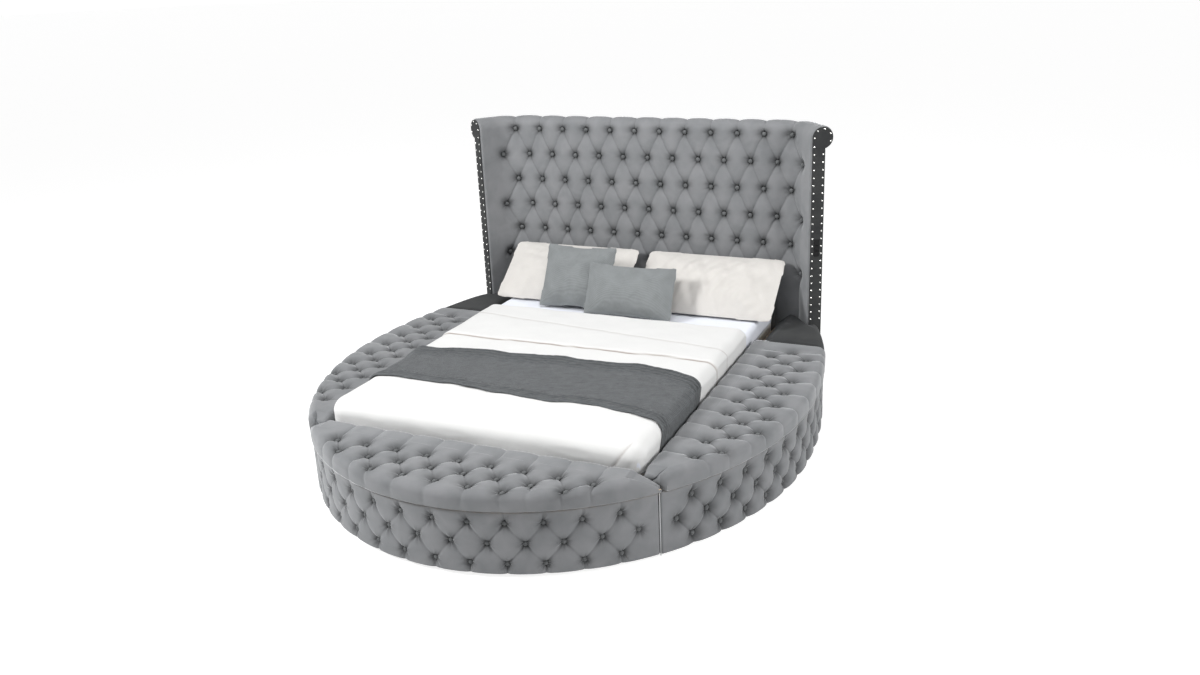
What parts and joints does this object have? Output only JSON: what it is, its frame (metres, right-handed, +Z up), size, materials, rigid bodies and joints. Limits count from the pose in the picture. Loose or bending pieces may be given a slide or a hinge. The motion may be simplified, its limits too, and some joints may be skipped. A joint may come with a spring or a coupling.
{
  "type": "round storage bed",
  "caption": "Round bed with a tufted wing headboard, upholstered storage benches with hinged lids round a sunk mattress, and its bedding.",
  "frame": {"origin": "on the floor, in the middle of the bed's outline seen from above", "axes": "+Z up, +Y from the foot towards the headboard, +X to the right seen from the foot"},
  "size_m": [2.448, 2.61, 1.455],
  "materials": {
    "grey_velvet": "short-pile velvet",
    "panel_velvet": "short-pile velvet",
    "zinc_steel": "zinc plated",
    "nailhead_steel": "polished",
    "black_plastic": "moulded",
    "glide_plastic": "moulded",
    "pine": "planed",
    "plywood": "sanded",
    "mattress_ticking": "quilted ticking",
    "white_sheet": "cotton percale",
    "white_duvet": "cotton",
    "grey_throw": "washed woven cotton",
    "white_pillowcase": "cotton sateen",
    "woven_cushion": "open woven"
  },
  "bodies": {
    "bed": {"back_cushion": "woven_cushion", "centre_legs": "pine", "centre_rail": "pine", "corner_boards": "plywood", "corner_brackets": "zinc_steel", "duvet": "white_duvet", "fitted_sheet": "white_sheet", "foot_box_buttons": "grey_velvet", "foot_box_face_pad": "grey_velvet", "foot_box_floor": "plywood", "foot_box_inner_wall": "plywood", "foot_box_outer_wall": "plywood", "foot_hinge_fixed_leaf": "zinc_steel", "front_cushion": "woven_cushion", "glides": "glide_plastic", "headboard_back_cover": "panel_velvet", "headboard_buttons": "grey_velvet", "headboard_frame": "pine", "headboard_pad": "grey_velvet", "hinge_pins": "zinc_steel", "left_box_buttons": "grey_velvet", "left_box_cross_walls": "plywood", "left_box_face_pad": "grey_velvet", "left_box_floor": "plywood", "left_box_inner_wall": "plywood", "left_box_outer_wall": "plywood", "left_corner_pad": "grey_velvet", "left_hinge_fixed_leaf": "zinc_steel", "left_pillow": "white_pillowcase", "left_wing_nails": "nailhead_steel", "left_wing_panel": "panel_velvet", "mattress": "mattress_ticking", "mattress_ledgers": "pine", "power_outlet": "black_plastic", "right_box_buttons": "grey_velvet", "right_box_cross_walls": "plywood", "right_box_face_pad": "grey_velvet", "right_box_floor": "plywood", "right_box_inner_wall": "plywood", "right_box_outer_wall": "plywood", "right_corner_pad": "grey_velvet", "right_hinge_fixed_leaf": "zinc_steel", "right_pillow": "white_pillowcase", "right_wing_nails": "nailhead_steel", "right_wing_panel": "panel_velvet", "slats": "pine", "throw": "grey_throw"},
    "foot_lid": {"foot_hinge_moving_leaf": "zinc_steel", "foot_lid_board": "plywood", "foot_lid_buttons": "grey_velvet", "foot_lid_pad": "grey_velvet"},
    "right_lid": {"right_hinge_moving_leaf": "zinc_steel", "right_lid_board": "plywood", "right_lid_buttons": "grey_velvet", "right_lid_pad": "grey_velvet"},
    "left_lid": {"left_hinge_moving_leaf": "zinc_steel", "left_lid_board": "plywood", "left_lid_buttons": "grey_velvet", "left_lid_pad": "grey_velvet"}
  },
  "joints": [
    {"name": "foot_lid_hinge", "type": "hinge", "parent": "bed", "child": "foot_lid", "pos_m": [0, -0.8947, 0.3], "axis": [-1, 0, 0], "range_deg": [0, 50]},
    {"name": "right_lid_hinge", "type": "hinge", "parent": "bed", "child": "right_lid", "pos_m": [0.7857, 0, 0.3], "axis": [0, -1, 0], "range_deg": [0, 50]},
    {"name": "left_lid_hinge", "type": "hinge", "parent": "bed", "child": "left_lid", "pos_m": [-0.7857, 0, 0.3], "axis": [0, 1, 0], "range_deg": [0, 50]}
  ]
}
